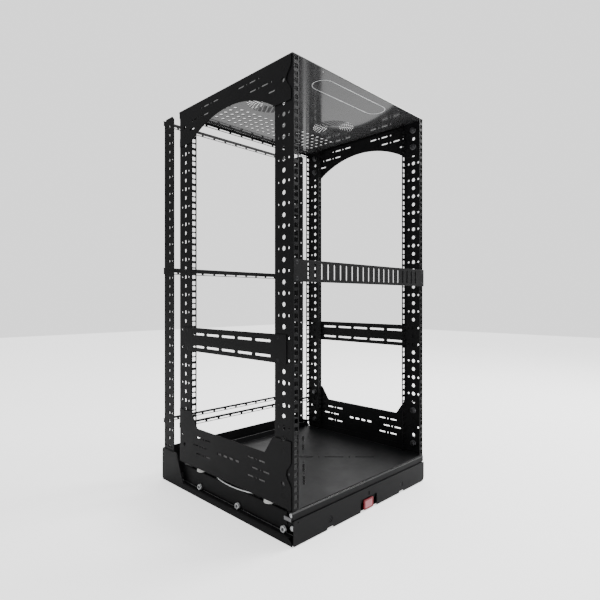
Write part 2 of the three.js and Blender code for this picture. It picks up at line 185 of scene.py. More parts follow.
def plated(name, dark, light, rough):
    """Zinc plate: metal with a blotchy crystal tone and fine scratches."""
    made, tree, shader = new_material(name)
    blotch = place_noise(tree, 90, 4, 0.65)
    scratch = place_noise(tree, 2600, 2)
    tone = remap(tree, blotch.outputs["Fac"], 0, 1)
    tree.links.new(colour_blend(tree, tone, dark, light), shader.inputs["Base Color"])
    tree.links.new(remap(tree, scratch.outputs["Fac"], *rough), shader.inputs["Roughness"])
    shader.inputs["Metallic"].default_value = 1.0
    add_bump(tree, shader, scratch.outputs["Fac"], 0.01 * MM)
    return made


def moulded(name, dark, light, rough, grain):
    """Moulded plastic with a fine spark-eroded texture."""
    made, tree, shader = new_material(name)
    cloud = place_noise(tree, 60, 3)
    texture = place_noise(tree, 1500, 2)
    tone = remap(tree, cloud.outputs["Fac"], 0, 1)
    tree.links.new(colour_blend(tree, tone, dark, light), shader.inputs["Base Color"])
    tree.links.new(remap(tree, texture.outputs["Fac"], *rough), shader.inputs["Roughness"])
    add_bump(tree, shader, texture.outputs["Fac"], grain)
    return made


def glow_for_camera(tree, shader_output, strength):
    """Adds a white glow that only the camera sees, so that a bright studio doesn't flood the object."""
    path = tree.nodes.new("ShaderNodeLightPath")
    glow = tree.nodes.new("ShaderNodeEmission")
    scale = tree.nodes.new("ShaderNodeMath")
    scale.operation = "MULTIPLY"
    scale.inputs[1].default_value = strength
    total = tree.nodes.new("ShaderNodeAddShader")
    tree.links.new(path.outputs["Is Camera Ray"], scale.inputs[0])
    tree.links.new(scale.outputs["Value"], glow.inputs["Strength"])
    tree.links.new(shader_output, total.inputs[0])
    tree.links.new(glow.outputs["Emission"], total.inputs[1])
    return total.outputs["Shader"]


def floor_paint():
    made, tree, shader = new_material("studio_floor")
    cloud = place_noise(tree, 2.0, 3)
    tone = colour_blend(tree, cloud.outputs["Fac"], (0.86, 0.86, 0.86), (0.9, 0.9, 0.9))
    tree.links.new(tone, shader.inputs["Base Color"])
    shader.inputs["Roughness"].default_value = 0.9
    shader.inputs["Specular IOR Level"].default_value = 0.1
    lit = glow_for_camera(tree, shader.outputs["BSDF"], FLOOR_GLOW)
    tree.links.new(lit, tree.nodes["Material Output"].inputs["Surface"])
    return made


POWDER = powder_coat(
    "black_powder_coat", (0.0055, 0.0055, 0.006), (0.009, 0.009, 0.0095), (0.42, 0.55), 0.12, 0.012 * MM,
)
SATIN = powder_coat(
    "satin_black_coat", (0.034, 0.034, 0.035), (0.042, 0.042, 0.043), (0.1, 0.13), 0.45, 0.0012 * MM,
)
FOLD_SHEEN = powder_coat(
    "black_coat_with_sheen", (0.0055, 0.0055, 0.006), (0.009, 0.009, 0.0095), (0.24, 0.3), 0.8, 0.006 * MM,
)
# A near-black, almost matt coat that paints shade: on plates' cut walls, on the strips under the top's
# side joints and in the fills under the floor's slots.
PAINTED_SHADE_COAT = powder_coat(
    "painted_shade_black", (0.002, 0.002, 0.002), (0.004, 0.004, 0.004), (0.6, 0.7), 0.05, 0.01 * MM,
)
ZINC = plated("bright_zinc", (0.6, 0.61, 0.62), (0.78, 0.79, 0.8), (0.22, 0.38))
DULL_ZINC = plated("dull_zinc", (0.2, 0.2, 0.205), (0.33, 0.33, 0.34), (0.3, 0.46))
NUT_STEEL = plated("dark_zinc", (0.08, 0.08, 0.085), (0.15, 0.15, 0.155), (0.3, 0.44))
BLACK_SCREW = plated("black_oxide", (0.02, 0.02, 0.021), (0.05, 0.05, 0.052), (0.34, 0.5))
NYLON = moulded("white_nylon", (0.66, 0.66, 0.64), (0.78, 0.78, 0.76), (0.4, 0.5), 0.01 * MM)
RED = moulded("red_plastic", (0.16, 0.005, 0.012), (0.2, 0.008, 0.016), (0.34, 0.46), 0.012 * MM)
PALE_RED = moulded("pale_red_face", (0.42, 0.14, 0.17), (0.5, 0.19, 0.22), (0.38, 0.5), 0.012 * MM)


# ---------------------------------------------------------------- outlines
def arc(u, v, radius, start, end, steps):
    """Points on an arc, with its angles in degrees."""
    angles = [math.radians(start + (end - start) * i / steps) for i in range(steps + 1)]
    return [(u + radius * math.cos(a), v + radius * math.sin(a)) for a in angles]


def circle(u, v, radius, steps=18):
    return arc(u, v, radius, 0, 360, steps)[:-1]


def rounded(u0, u1, v0, v1, radius, steps=4):
    """A rectangle with rounded corners."""
    points = arc(u1 - radius, v0 + radius, radius, -90, 0, steps)
    points += arc(u1 - radius, v1 - radius, radius, 0, 90, steps)
    points += arc(u0 + radius, v1 - radius, radius, 90, 180, steps)
    return points + arc(u0 + radius, v0 + radius, radius, 180, 270, steps)


def slot(u, v, length, width, angle=0.0):
    """A round-ended slot whose length runs at an angle in degrees."""
    half, radius = length / 2 - width / 2, width / 2
    points = arc(half, 0, radius, -90, 90, 6) + arc(-half, 0, radius, 90, 270, 6)
    c, s = math.cos(math.radians(angle)), math.sin(math.radians(angle))
    return [(u + a * c - b * s, v + a * s + b * c) for a, b in points]


# ---------------------------------------------------------------- mesh making
# How a sheet lies: the directions of its outline's two axes and of its thickness
AXES = {
    "side": ((0, 1, 0), (0, 0, 1), (1, 0, 0)),
    "front": ((1, 0, 0), (0, 0, 1), (0, -1, 0)),
    "level": ((1, 0, 0), (0, 1, 0), (0, 0, 1)),
}
NORMAL_AXIS = {"side": 0, "front": 1, "level": 2}


def plane_matrix(plane, middle):
    """Turns an outline's own axes onto a plane at a place on the third axis."""
    u, v, n = (Vector(axis) for axis in AXES[plane])
    matrix = Matrix((u, v, n)).transposed().to_4x4()
    matrix.translation[NORMAL_AXIS[plane]] = middle
    return matrix


def flat(plane, low, outline, holes=(), thick=SHEET, edge=EDGE):
    """A flat sheet with holes. Its thickness runs up from the place low on the third axis."""
    curve = bpy.data.curves.new("outline", "CURVE")
    curve.dimensions = "2D"
    curve.fill_mode = "BOTH"
    for points in [outline, *holes]:
        spline = curve.splines.new("POLY")
        spline.points.add(len(points) - 1)
        for point, (u, v) in zip(spline.points, points):
            point.co = (u, v, 0, 1)
        spline.use_cyclic_u = True
    curve.extrude = thick / 2 - edge
    curve.bevel_depth = edge
    curve.bevel_resolution = 1
    curve.offset = -edge  # keeps the rounding inside the outline
    holder = bpy.data.objects.new("outline", curve)
    bpy.context.scene.collection.objects.link(holder)
    graph = bpy.context.evaluated_depsgraph_get()
    mesh = bpy.data.meshes.new_from_object(holder.evaluated_get(graph))
    bpy.data.objects.remove(holder)
    bpy.data.curves.remove(curve)
    mesh.polygons.foreach_set("use_smooth", [abs(face.normal.z) < 0.99 for face in mesh.polygons])
    mesh.transform(plane_matrix(plane, low + thick / 2))
    return mesh


def mesh_from(made):
    """The mesh of a finished bmesh."""
    mesh = bpy.data.meshes.new("made")
    made.to_mesh(mesh)
    made.free()
    return mesh


def prism(plane, low, high, outline):
    """A closed solid: an outline carried from low to high along the third axis."""
    made = bmesh.new()
    rings = [[made.verts.new((u, v, n)) for u, v in outline] for n in (low, high)]
    made.faces.new(rings[1])
    made.faces.new(rings[0][::-1])
    for i in range(len(outline)):
        j = (i + 1) % len(outline)
        made.faces.new((rings[0][i], rings[0][j], rings[1][j], rings[1][i])).smooth = True
    mesh = mesh_from(made)
    mesh.transform(plane_matrix(plane, 0))
    return mesh


def fold(plane, low, high, centre, start, radius=BEND, thick=SHEET):
    """The bend between two sheets at right angles: a quarter ring, carried along one axis."""
    outer = arc(*centre, radius, start, start + 90, 6)
    inner = arc(*centre, radius - thick, start + 90, start, 6)
    if plane == "front":
        low, high = -high, -low
    return prism(plane, low, high, outer + inner)


def lathe(profile, steps=48, closed=False):
    """A turned solid about Z, from [radius, height] points that run round its section."""
    made = bmesh.new()
    loops = []
    for radius, height in profile:
        if radius < TOUCH:
            loops.append([made.verts.new((0, 0, height))])
            continue
        loops.append([made.verts.new((x, y, height)) for x, y in circle(0, 0, radius, steps)])
    pairs = list(zip(loops, loops[1:]))
    if closed:
        pairs.append((loops[-1], loops[0]))
    for lower, upper in pairs:
        for i in range(steps):
            j = (i + 1) % steps
            corners = [lower[i % len(lower)], lower[j % len(lower)]]
            corners += [upper[j % len(upper)], upper[i % len(upper)]]
            unique = list(dict.fromkeys(corners))
            if len(unique) > 2:
                made.faces.new(unique).smooth = True
    bmesh.ops.recalc_face_normals(made, faces=made.faces)
    return mesh_from(made)


def moved(mesh, x=0.0, y=0.0, z=0.0, turn=None):
    """turn is (angle in degrees, axis), applied before the move."""
    if turn:
        mesh.transform(Matrix.Rotation(math.radians(turn[0]), 4, turn[1]))
    mesh.transform(Matrix.Translation((x, y, z)))
    return mesh


def mirrored(mesh):
    """Swaps left and right."""
    mesh.transform(Matrix.Scale(-1, 4, (1, 0, 0)))
    mesh.flip_normals()
    return mesh


def join(meshes, slots=None):
    """One mesh from several. slots gives each one's material number."""
    made = bmesh.new()
    for number, mesh in enumerate(meshes):
        first = len(made.faces)
        made.from_mesh(mesh)
        made.faces.ensure_lookup_table()
        for face in made.faces[first:]:
            face.material_index = slots[number] if slots else 0
        bpy.data.meshes.remove(mesh)
    bmesh.ops.remove_doubles(made, verts=made.verts, dist=TOUCH)
    return mesh_from(made)


def piece(name, mesh, materials, body, replaced=()):
    """Puts a finished mesh into the scene, riding on its body and standing for its CAD nodes."""
    mesh.name = name
    smooth = [face.use_smooth for face in mesh.polygons]  # kept, because the next call makes all smooth
    mesh.set_sharp_from_angle(angle=SHARP_ANGLE)
    mesh.polygons.foreach_set("use_smooth", smooth)
    for material in materials if isinstance(materials, list) else [materials]:
        mesh.materials.append(material)
    made = bpy.data.objects.new(name, mesh)
    bpy.context.scene.collection.objects.link(made)
    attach(made, body)
    if replaced:
        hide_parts(*replaced)


def darken_cuts(mesh):
    """Gives the cut walls of a plate that stands on its side the second material, a near-black painted
    shade.
    """
    for face in mesh.polygons:
        if abs(face.normal.x) < 0.5:
            face.material_index = 1
    return mesh


def both_sides(name, make, materials, body, node):
    """A left piece and its mirror image on the right."""
    piece(f"{name}_left", make(), materials, body, [f"{node}_left"])
    piece(f"{name}_right", mirrored(make()), materials, body, [f"{node}_right"])


# ---------------------------------------------------------------- camera
def make_camera():
    data = bpy.data.cameras.new("camera")
    data.lens = FOCAL
    data.sensor_width = SENSOR
    camera = bpy.data.objects.new("camera", data)
    camera.location = (-HALF_RACK - CAMERA_LEFT_OF_RACK, FRONT - CAMERA_AHEAD_OF_RACK, CAMERA_HEIGHT)
    camera.rotation_euler = (math.radians(90), 0, math.radians(-45))
    bpy.context.scene.collection.objects.link(camera)
    bpy.context.scene.camera = camera


# ---------------------------------------------------------------- posts
def punched_strip(y, x0, x1, low, high, hole_x):
    """An upright strip that faces the front, with the column of square holes."""
    columns = [x0, hole_x - SQUARE_SIDE / 2, hole_x + SQUARE_SIDE / 2, x1]
    rows = [low]
    for z in SQUARE_HEIGHTS:
        rows += [z - SQUARE_SIDE / 2, z + SQUARE_SIDE / 2]
    rows.append(high)
    made = bmesh.new()
    front = [[made.verts.new((x, y, z)) for x in columns] for z in rows]
    back = [[made.verts.new((x, y + SHEET, z)) for x in columns] for z in rows]
    twins = {}
    for r in range(len(rows) - 1):
        for c in range(3):
            if c == 1 and r % 2:
                continue  # this cell is a hole
            corners = [(r, c), (r, c + 1), (r + 1, c + 1), (r + 1, c)]
            made.faces.new([front[i][j] for i, j in corners])
            made.faces.new([back[i][j] for i, j in reversed(corners)])
            twins.update({front[i][j]: back[i][j] for i, j in corners})
    rims = [edge for edge in made.edges if len(edge.link_faces) == 1 and edge.verts[0] in twins]
    for rim in rims:
        loop = rim.link_loops[0]
        start, end = loop.vert, loop.link_loop_next.vert
        made.faces.new((end, start, twins[start], twins[end]))
    return mesh_from(made)


def web_holes(column, heights, large, small):
    """A column of round holes, with a small hole on both sides of every second one."""
    holes = [circle(column, z, large) for z in heights]
    for offset in (-SMALL_OFFSET, SMALL_OFFSET):
        holes += [circle(column + offset, z, small, 12) for z in heights[::2]]
    return holes


def rack_post(end):
    """A folded channel: a web with round holes and a punched flange along each of its edges."""
    (x0, y0, low), (x1, y1, high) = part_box(f"post_{end}_left")
    column = y0 + BOLT_COLUMN if end == "front" else y1 - BOLT_COLUMN
    holes = web_holes(column, COLUMN_HEIGHTS, COLUMN_RADIUS, SMALL_RADIUS)
    bend = 2.1 * MM  # tight, because the square holes come close to it
    square_x = SQUARE_COLUMN - HALF_RACK
    parts = [flat("side", x0, rounded(y0 + bend, y1 - bend, low, high, EDGE, 1), holes)]
    for y in (y0, y1 - SHEET):
        parts.append(punched_strip(y, x0 + bend, x1, low, high, square_x))
    for y, start in ((y0 + bend, 180), (y1 - bend, 90)):
        parts.append(fold("level", low, high, (x0 + bend, y), start, bend))
    return join(parts)


def cable_post():
    """An angle: a web along the side and a flange along its rear edge."""
    (x0, y0, low), (x1, y1, high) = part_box("cable_post_left")
    column = (y0 + y1) / 2 - 1.5 * MM
    chamfer, head = 8 * MM, 12 * MM
    shoulder = high - chamfer
    inside = [z for z in COLUMN_HEIGHTS if z < high - head]
    holes = web_holes(column, inside, 4.2 * MM, 2.4 * MM)
    web = [(y0, low), (y1 - BEND, low), (y1 - BEND, shoulder), (y1 - BEND - chamfer, high)]
    web += [(y0 + chamfer, high), (y0, shoulder)]
    flange = rounded(x0 + BEND, x1, low, shoulder, 3 * MM)
    parts = [flat("side", x0, web, holes), flat("front", y1 - SHEET, flange)]
    parts.append(fold("level", low, shoulder, (x0 + BEND, y1 - BEND), 90))
    return join(parts)


# ---------------------------------------------------------------- side plates and braces
def notched_edge(edge_y, inward, z_low, z_high, centre):
    """The upright end of a plate, from its foot to its top, with a rounded notch."""
    steps = 16
    points = [(edge_y, z_low)]
    for i in range(steps + 1):
        t = 2 * i / steps - 1
        inset = NOTCH_DEEP * (1 + math.cos(math.pi * t)) / 2
        points.append((edge_y + inward * inset, centre + t * NOTCH_TALL / 2))
    return points + [(edge_y, z_high)]


def mirrored_offsets(offsets):
    """Places ahead of the middle and behind it, from offsets in millimetres."""
    return [MIDDLE + sign * offset * MM for offset in offsets for sign in (-1, 1)]


def slot_rows(rows, width):
    """Slots and small dots from rows of [height, slots' offsets, dots' offsets], in millimetres."""
    holes = []
    for height, offsets, dots in rows:
        holes += [slot(y, height * MM, PLATE_SLOT, width) for y in mirrored_offsets(offsets)]
        holes += [circle(y, height * MM, DOT_RADIUS, 10) for y in mirrored_offsets(dots)]
    return holes


def bolt_holes(heights):
    """The holes of a side plate that lie over the posts' large holes."""
    columns = (FRONT + BOLT_COLUMN, REAR - BOLT_COLUMN)
    return [circle(y, z, COLUMN_RADIUS) for z in heights for y in columns]


def upper_side_plate():
    """A plate with an arch below, a notch in each end and three rows of slots."""
    (x0, y0, low), (_, y1, high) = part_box("upper_side_plate_left")
    shoulder, apex, notch = low + 2.5 * MM, 917 * MM, 916.3 * MM
    rise = apex - shoulder
    radius = (OPENING_HALF**2 + rise**2) / (2 * rise)
    spread = math.degrees(math.asin(OPENING_HALF / radius))
    outline = notched_edge(y0, 1, low, high, notch)
    outline += notched_edge(y1, -1, low, high, notch)[::-1]
    outline += [(MIDDLE + OPENING_HALF, low)]
    outline += arc(MIDDLE, apex - radius, radius, 90 - spread, 90 + spread, 40)
    outline += [(MIDDLE - OPENING_HALF, low)]
    rows = [(944.2, (86.4, 47.7), (107, 67)), (924.2, (126.5, 87.5), (107, 147)), (903.5, (148,), ())]
    holes = slot_rows(rows, 3.6 * MM) + bolt_holes(COLUMN_HEIGHTS[-3:])
    return darken_cuts(flat("side", x0, outline, holes))


def lower_side_plate():
    """A low plate that rises to a shoulder at each post, with rows of slots in its middle."""
    (x0, y0, low), (_, y1, high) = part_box("lower_side_plate_left")
    notch, middle_row = 138.4 * MM, 125 * MM
    foot, foot_half, corner = 166.2 * MM, 123 * MM, 6 * MM
    outline = notched_edge(y0, 1, low, high, notch) + [(MIDDLE - OPENING_HALF, high)]
    outline += arc(MIDDLE - foot_half, foot + corner, corner, 225, 270, 4)
    outline += arc(MIDDLE + foot_half, foot + corner, corner, 270, 315, 4)
    outline += [(MIDDLE + OPENING_HALF, high)] + notched_edge(y1, -1, low, high, notch)[::-1]
    rows = [(144.9, (116.7, 79.4), (98,)), (125, (130.7, 94), (112,)), (105.5, (116.7, 79.4), (98,))]
    holes = slot_rows(rows, 3.4 * MM)
    holes += [slot(MIDDLE + i * 11 * MM, middle_row, 15 * MM, 5 * MM) for i in (-3, -1, 1, 3)]
    holes += bolt_holes(COLUMN_HEIGHTS[i] for i in (0, 1, 4, 5))
    return darken_cuts(flat("side", x0, outline, holes))


def side_brace():
    """A strip across the two posts with two rows of long slots and a screw in each corner."""
    (x0, y0, low), (_, y1, high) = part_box("side_brace_left")
    pitch, row_heights = 60 * MM, (366.4 * MM, 397.1 * MM)
    slots = [slot(MIDDLE + i * pitch, z, 50 * MM, 5 * MM) for z in row_heights for i in range(-2, 3)]
    plate = flat("side", x0, rounded(y0, y1, low, high, 3 * MM), slots)
    end, screws = 24 * MM, []
    for y in (y0 + end, y1 - end):
        for z in (low + 6.7 * MM, high - 7.1 * MM):
            screws.append(moved(flush_screw(3.4 * MM), x0, y, z, (-90, "Y")))
    return join([plate, *screws], [0] + [1] * len(screws))


# ---------------------------------------------------------------- fasteners
def flush_screw(radius, proud=0.2 * MM):
    """A countersunk head with a hexagon socket, facing +Z, sunk into the sheet below z = 0."""
    socket, socket_foot, foot = radius * 0.42, proud - 1.4 * MM, -1.9 * MM
    profile = [(0, socket_foot), (socket, socket_foot), (socket, proud), (radius * 0.96, proud)]
    profile += [(radius, proud - 0.1 * MM), (radius * 0.6, foot), (0, foot)]
    return lathe(profile, 24)


def pan_screw(radius, tall):
    """A pan head with a hexagon socket, facing +Z, on a face at z = 0."""
    socket, shoulder = radius * 0.42, tall * 0.8
    profile = [(0, tall * 0.35), (socket, tall * 0.35), (socket, tall)]
    profile += arc(radius - shoulder, tall - shoulder, shoulder, 90, 0, 5)
    return lathe(profile + [(radius, 0), (0, 0)], 24)


def stub(radius, length):
    """A plain round pin that stands on z = 0."""
    return lathe([(0, 0), (radius, 0), (radius, length), (0, length)], 20)


def flange_nut():
    """A hexagon flange nut on its threaded stud, facing +Z, with its seat at z = 0."""
    flange = [(4 * MM, 0), (8.3 * MM, 0), (8.3 * MM, 0.9 * MM), (7.2 * MM, 1.7 * MM), (4 * MM, 2.2 * MM)]
    nut = bmesh.new()
    levels = [(6.2 * MM, 1.2 * MM), (7.3 * MM, 1.2 * MM), (7.3 * MM, 6.4 * MM), (6.4 * MM, 7.0 * MM)]
    rings = [[nut.verts.new((u, v, z)) for u, v in circle(0, 0, r, 6)] for r, z in levels]
    for lower, upper in zip(rings, rings[1:]):
        for i in range(6):
            nut.faces.new((lower[i], lower[(i + 1) % 6], upper[(i + 1) % 6], upper[i]))
    nut.faces.new(rings[-1])
    nut.faces.new(rings[0][::-1])
    crest, root, pitch, top = 3.9 * MM, 3.3 * MM, 1.25 * MM, 7.9 * MM
    stud = [(0, 0), (crest, 0)]
    for turn in range(6):
        z = 0.4 * MM + turn * pitch
        stud += [(crest, z), (root, z + pitch / 2)]
    stud += [(3.4 * MM, top), (0, top)]
    return join([lathe(flange, 36, closed=True), mesh_from(nut), lathe(stud, 24)])


def side_bolt(node, sign):
    """The nut on the inside, and the flush head of its stud in the plate."""
    low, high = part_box(node)
    y, z = (low.y + high.y) / 2, (low.z + high.z) / 2
    seat = HALF_RACK - 2 * SHEET - 0.6 * MM
    nut = moved(flange_nut(), -seat, y, z, (90, "Y"))
    radius, foot = 4.65 * MM, -4.2 * MM
    profile = [(0, 0), (radius - 0.15 * MM, 0), (radius, -0.2 * MM), (radius, foot), (0, foot)]
    head = moved(lathe(profile, 24), -HALF_RACK - 0.05 * MM, y, z, (-90, "Y"))
    mesh = join([nut, head], [0, 1])
    return mirrored(mesh) if sign > 0 else mesh


def make_bolts():
    for end in ("front", "rear"):
        for level in range(1, 5):
            for side, sign in (("left", -1), ("right", 1)):
                place = f"bolt_{end}_{level}_{side}"
                mesh = side_bolt(f"side_{place}", sign)
                piece(f"flange_{place}", mesh, [NUT_STEEL, POWDER], "rack", [f"side_{place}"])


# ---------------------------------------------------------------- top panel
def fan_grille(x, y):
    """Rings of short slots round a plain hub, each ring turned half a slot from the last."""
    hub, ring_pitch, half_wide = 20 * MM, 4.9 * MM, 1.5 * MM
    holes = []
    for number in range(8):
        radius = hub + ring_pitch * number
        count = 9 + 3 * number
        span = 360 / count
        half_span = 0.33 * span
        for i in range(count):
            mid = (i + number / 2) * span
            outer = arc(x, y, radius + half_wide, mid - half_span, mid + half_span, 3)
            holes.append(outer + arc(x, y, radius - half_wide, mid + half_span, mid - half_span, 3))
    return holes


def stadium_point(t, y, straight, radius):
    """A place on a long oval about x = 0, with its outward direction, for t from 0 to 1 round it."""
    along = (t % 1) * (2 * straight + 2 * math.pi * radius)
    for way, start in ((1, -90), (-1, 90)):
        if along < straight:
            return way * (along - straight / 2), y - way * radius, 0, -way
        along -= straight
        if along < math.pi * radius:
            a = math.radians(start) + along / radius
            c, s = math.cos(a), math.sin(a)
            return way * straight / 2 + radius * c, y + radius * s, c, s
        along -= math.pi * radius
    return -straight / 2, y - radius, 0, -1


def knock_out(width):
    """The oval's outline as thin cuts that leave narrow tabs between them."""
    length, tall, from_front = 243 * MM, 51 * MM, 51.6 * MM
    tabs, tab, steps = 6, 0.006, 24
    cuts = []
    for i in range(tabs):
        turns = [(i + tab + (1 - 2 * tab) * k / steps) / tabs for k in range(steps + 1)]
        points = [stadium_point(t, FRONT + from_front, length - tall, tall / 2) for t in turns]
        outer = [(px + nx * width / 2, py + ny * width / 2) for px, py, nx, ny in points]
        inner = [(px - nx * width / 2, py - ny * width / 2) for px, py, nx, ny in points]
        cuts.append(outer + inner[::-1])
    return cuts


def top_panel():
    """A flat cover with vents, its oval knock-out in bare metal and a near-black strip under each side
    joint, painted shade for the dark gap there.
    """
    low = PANEL_LOW.z
    pitch, first_row = 20 * MM, FRONT + 290 * MM
    fan_x, small_x = 117.3 * MM, 141 * MM
    places = [(c * pitch, first_row + r * pitch) for c in range(-10, 11) for r in range(5)]
    holes = [circle(x, y, 4.5 * MM, 16) for x, y in places]
    for side in (-1, 1):
        holes += fan_grille(side * fan_x, MIDDLE - 1 * MM)
    holes += [circle(side * small_x, FRONT + 11 * MM, 2.4 * MM, 12) for side in (-1, 1)]
    outline = rounded(-HALF_RACK, HALF_RACK, FRONT, REAR, 1.5 * MM)
    panel = flat("level", low, outline, holes + knock_out(2.2 * MM), edge=0.4 * MM)
    strips = [flat("level", low + 0.1 * MM, cut, (), 1.6 * MM, 0.1 * MM) for cut in knock_out(2 * MM)]
    # Near-black strips just inside the side plates' tops: painted shade for the gap between plate and
    # cover.
    shade_strip_end, shade_strip_wide = POST_DEPTH + 1 * MM, 1.2 * MM
    shade_strip = rounded(FRONT + shade_strip_end, REAR - shade_strip_end, low - 5 * MM, low, 0.3 * MM)
    shade_strip_x = HALF_RACK - SHEET - 1.6 * MM
    shade_strips = [flat("side", x, shade_strip, (), shade_strip_wide) for x in (-shade_strip_x, shade_strip_x - shade_strip_wide)]
    return join([panel, *strips, *shade_strips], [0] + [1] * len(strips) + [2, 2])


# ---------------------------------------------------------------- bars and vent panel
def lacing_bar(node, slot_tall):
    """An angle: an upright leg with a row of long slots and a short shelf folded back at its top."""
    low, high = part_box(node)
    thick, bend, margin = 1.2 * MM, 1.6 * MM, 2 * MM
    pitch, length, count = 39.6 * MM, 33.4 * MM, 12
    middle = low.z + margin + slot_tall / 2
    slots = [slot((i - (count - 1) / 2) * pitch, middle, length, slot_tall) for i in range(count)]
    upright = rounded(low.x, high.x, low.z, high.z - bend, 0.8 * MM)
    shelf = rounded(low.x, high.x, low.y + bend, high.y, 0.6 * MM)
    parts = [flat("front", low.y, upright, slots, thick), flat("level", high.z - thick, shelf, (), thick)]
    parts.append(fold("side", low.x, high.x, (low.y + bend, high.z - bend), 90, bend, thick))
    return join(parts)


def vent_panel():
    """A one-unit panel with a row of upright slots, screwed to the posts' outer square holes."""
    low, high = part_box("vent_panel")
    middle = (low.z + high.z) / 2
    slots = [slot(i * 20 * MM, middle, 33 * MM, 5 * MM, 90) for i in range(-10, 11)]
    panel = flat("front", low.y, rounded(low.x, high.x, low.z, high.z, 1 * MM), slots)
    screw_x = HALF_RACK - SQUARE_COLUMN
    screw_offset = SQUARES_IN_UNIT[1] - SQUARES_IN_UNIT[0]
    screws = []
    for x in (-screw_x, screw_x):
        for z in (middle - screw_offset, middle + screw_offset):
            screws.append(moved(flush_screw(4.2 * MM, 0.15 * MM), x, low.y, z, (90, "X")))
    return join([panel, *screws], [0] + [1] * len(screws))


# ---------------------------------------------------------------- rack floor
def rack_floor():
    """A plate with slots along its diagonals, and edges folded up between the posts."""
    low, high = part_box("rack_floor")
    post_end = POST_DEPTH + 0.3 * MM
    slot_long, slot_wide, clear = 50 * MM, 5.2 * MM, 0.2 * MM
    step = 40 * MM  # along a diagonal, from a slot to the small hole after it
    slots = [(0, MIDDLE, -45)]
    holes = []
    for angle in (45, -45):
        way = Vector((math.cos(math.radians(angle)), math.sin(math.radians(angle))))
        for count in (-4, -2, 2, 4):
            place = way * count * step
            slots.append((place.x, MIDDLE + place.y, angle))
        for count in (-3, -1, 1, 3):
            place = way * count * step
            holes.append(circle(place.x, MIDDLE + place.y, 2.4 * MM, 12))
    holes += [slot(x, y, slot_long, slot_wide, angle) for x, y, angle in slots]
    outline = rounded(low.x + BEND, high.x - BEND, low.y, high.y - BEND, 1 * MM)
    parts = [flat("level", low.z, outline, holes, edge=0.5 * MM)]
    shadows = []
    # Near-black fills just under the slots: painted shadow in them.
    for x, y, angle in slots:
        inside = slot(x, y, slot_long - clear, slot_wide - clear, angle)
        shadows.append(flat("level", low.z + 0.1 * MM, inside, (), 0.9 * MM, 0.1 * MM))
    for sign in (-1, 1):
        tabs = [(low.y, low.y + post_end), (high.y - post_end, high.y - BEND)]
        edges = sorted((sign * high.x, sign * (high.x - BEND)))
        parts += [flat("level", low.z, rounded(*edges, *tab, EDGE, 1)) for tab in tabs]
        x_low = low.x if sign < 0 else high.x - SHEET
        upstand = rounded(low.y + post_end, high.y - post_end, low.z + BEND, high.z, 2 * MM)
        parts.append(flat("side", x_low, upstand))
        centre = (sign * (high.x - BEND), low.z + BEND)
        start = 180 if sign < 0 else 270
        parts.append(fold("front", low.y + post_end, high.y - post_end, centre, start))
    reach = high.x - 22 * MM
    parts.append(flat("front", high.y - SHEET, rounded(-reach, reach, low.z + BEND, high.z, 2 * MM)))
    parts.append(fold("side", -reach, reach, (high.y - BEND, low.z + BEND), 270))
    return join(parts + shadows, [0] * len(parts) + [1] * len(shadows))


# ---------------------------------------------------------------- base
def base_rail():
    """A low web that slopes up to a tall riser at its rear, with an inward track for the rollers."""
    (x0, y0, _), (_, y1, high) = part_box("base_rail_left")
    nose, track_wide = 12 * MM, 13 * MM
    slope_foot, slope_top = FRONT + 398 * MM, FRONT + 432 * MM
    fold_end = slope_foot - 3 * MM
    side = [(y0 + 0.8 * MM, 0), (y1, 0), (y1, high)]
    side += [(slope_top + 2 * MM, high), (slope_top - 1 * MM, high - 3 * MM)]
    side += [(slope_foot + 1.5 * MM, RAIL_TOP + 3 * MM), (fold_end, RAIL_TOP - BEND)]
    side += arc(y0 + nose, RAIL_TOP - nose, nose - BEND, 90, 180, 8)
    web = flat("side", x0, side)
    inner_edge = x0 + track_wide
    track = flat("level", RAIL_TOP - SHEET, rounded(x0 + BEND, inner_edge, y0 + nose, y1, 1 * MM))
    corner = fold("front", y0 + nose, fold_end, (x0 + BEND, RAIL_TOP - BEND), 90)
    # A plated bead along the track's inner edge; its bright colour paints a highlight, a light line along
    # the shadowed track.
    bead_outline = rounded(y0 + nose, y1 - 1 * MM, RAIL_TOP - SHEET / 2, RAIL_TOP + 1 * MM, 0.4 * MM)
    bead = flat("side", inner_edge - 1 * MM, bead_outline, (), 1.2 * MM, 0.4 * MM)
    return join([web, track, corner, bead], [0, 0, 0, 1])


def base_rear_wall():
    low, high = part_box("base_rear_wall")
    return flat("front", low.y, rounded(low.x, high.x, low.z, high.z, 6 * MM))


def base_pan():
    """A plate under the base with a hole near each corner and three long openings."""
    low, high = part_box("base_pan")
    corner, step = 180 * MM, 120 * MM
    holes = [circle(x, y, 5 * MM) for x in (-corner, corner) for y in (-corner, corner)]
    holes += [slot(0, y, 120 * MM, 12 * MM) for y in (-step, 0, step)]
    return flat("level", low.z, rounded(low.x, high.x, low.y, high.y, 2 * MM), holes)


# ---------------------------------------------------------------- carriage
def inset_box(node):
    """A node's corners, drawn in a little from the rails' outer faces."""
    low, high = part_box(node)
    low.x, high.x = low.x + FRONT_INSET, high.x - FRONT_INSET
    return low, high


def foot_notch(centre, z):
    """A shallow notch with sloping ends in a plate's lower edge."""
    half, deep, slope = 11 * MM, 3.6 * MM, 3 * MM
    points = [(centre - half, z), (centre - half + slope, z + deep)]
    return points + [(centre + half - slope, z + deep), (centre + half, z)]


